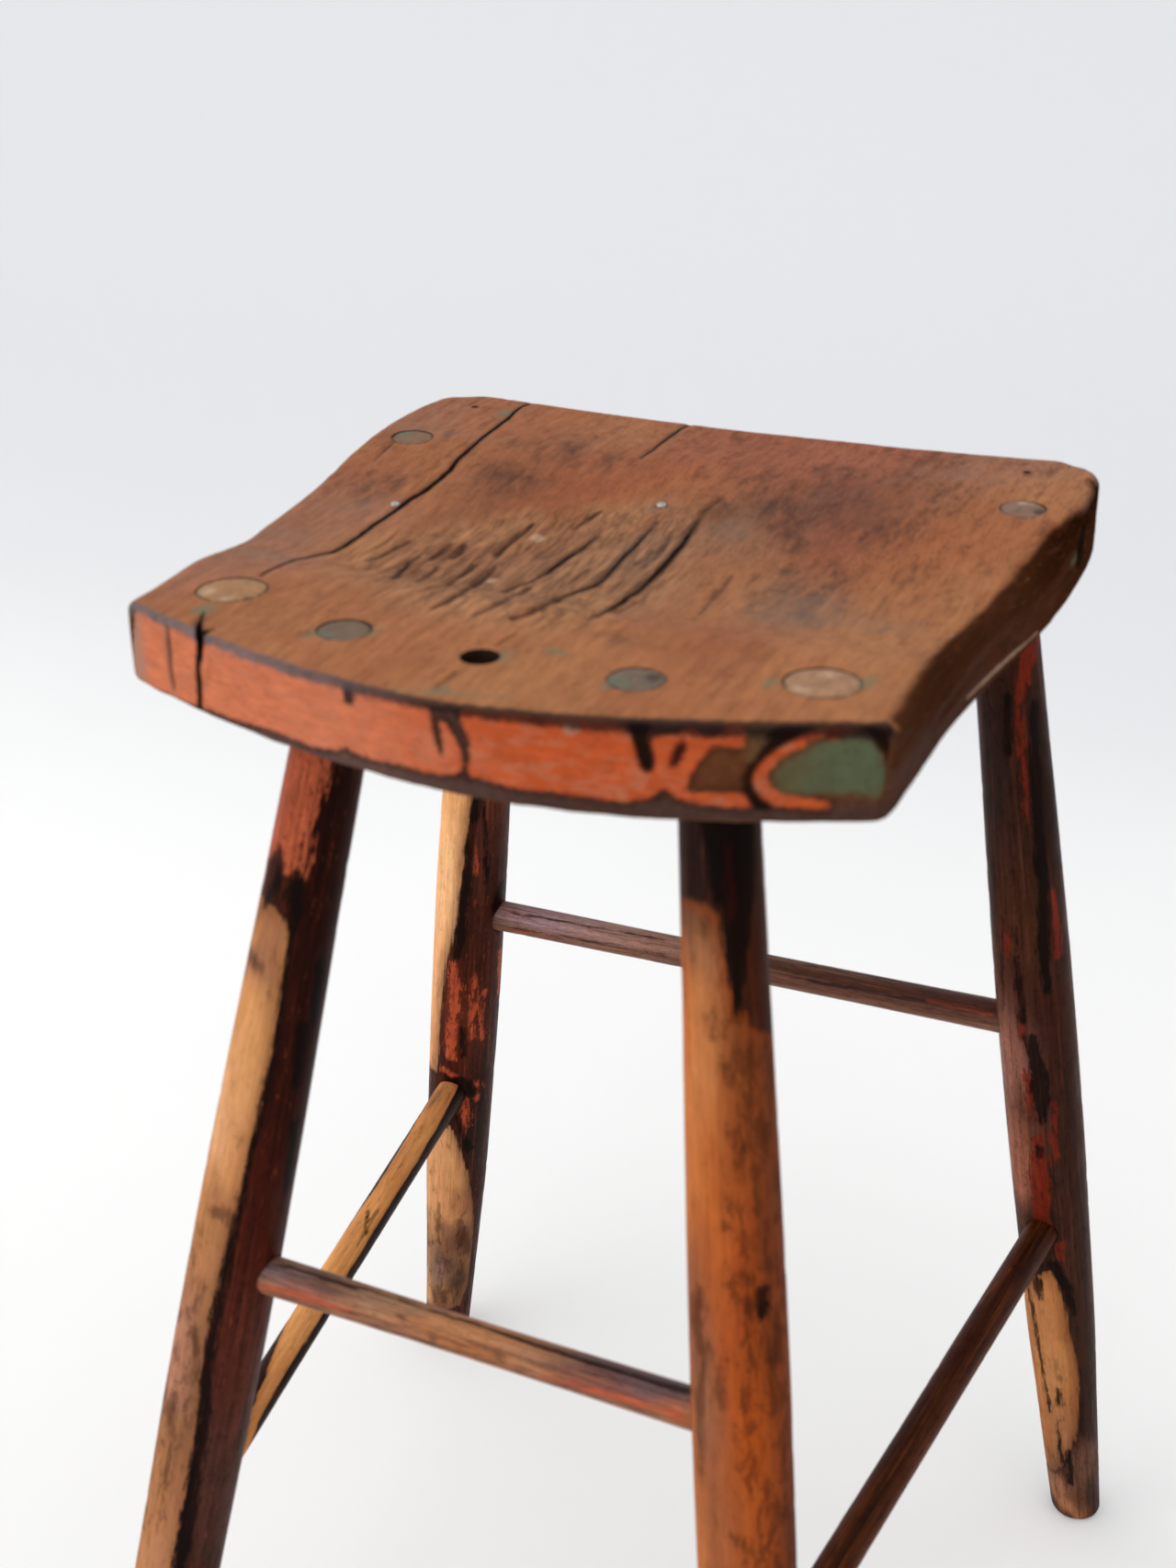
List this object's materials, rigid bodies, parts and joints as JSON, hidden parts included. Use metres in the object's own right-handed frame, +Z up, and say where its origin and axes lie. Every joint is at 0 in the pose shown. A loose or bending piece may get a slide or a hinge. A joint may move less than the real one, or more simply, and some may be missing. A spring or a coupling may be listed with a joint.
{
  "type": "milking stool",
  "caption": "Backless wooden stool: thick dished plank seat with a bowed front end and plugged sockets, on splayed turned legs braced by round stretchers.",
  "frame": {"origin": "on the floor, at the middle of the stool's bounding box", "axes": "+Z up; -Y towards the bowed, painted front end of the seat; +Y along the grain of the plank; +X to the sitter's right when seen from the front end"},
  "size_m": [0.4114, 0.4252, 0.5954],
  "materials": {
    "seat_wood": "worn, oiled reddish brown wood with remains of orange red and green paint",
    "leg_wood": "dark red paint and old varnish rubbed through to honey coloured wood",
    "stretcher_wood": "dark red brown, rubbed through to bare wood",
    "plug_wood": "bare end grain, some of it stained green",
    "nail_iron": "worn iron, polished by use"
  },
  "bodies": {
    "root": {"seat_plank": "seat_wood", "leg_front_left": "leg_wood", "leg_front_right": "leg_wood", "leg_back_left": "leg_wood", "leg_back_right": "leg_wood", "stretcher_front": "stretcher_wood", "stretcher_back": "stretcher_wood", "stretcher_left": "stretcher_wood", "stretcher_right": "stretcher_wood", "post_plug_left": "plug_wood", "post_plug_right": "plug_wood", "spindle_plug_left": "plug_wood", "spindle_plug_right": "plug_wood", "rear_plug_left": "plug_wood", "rear_plug_right": "plug_wood", "set_nail_left": "nail_iron", "set_nail_centre": "nail_iron"}
  },
  "joints": []
}
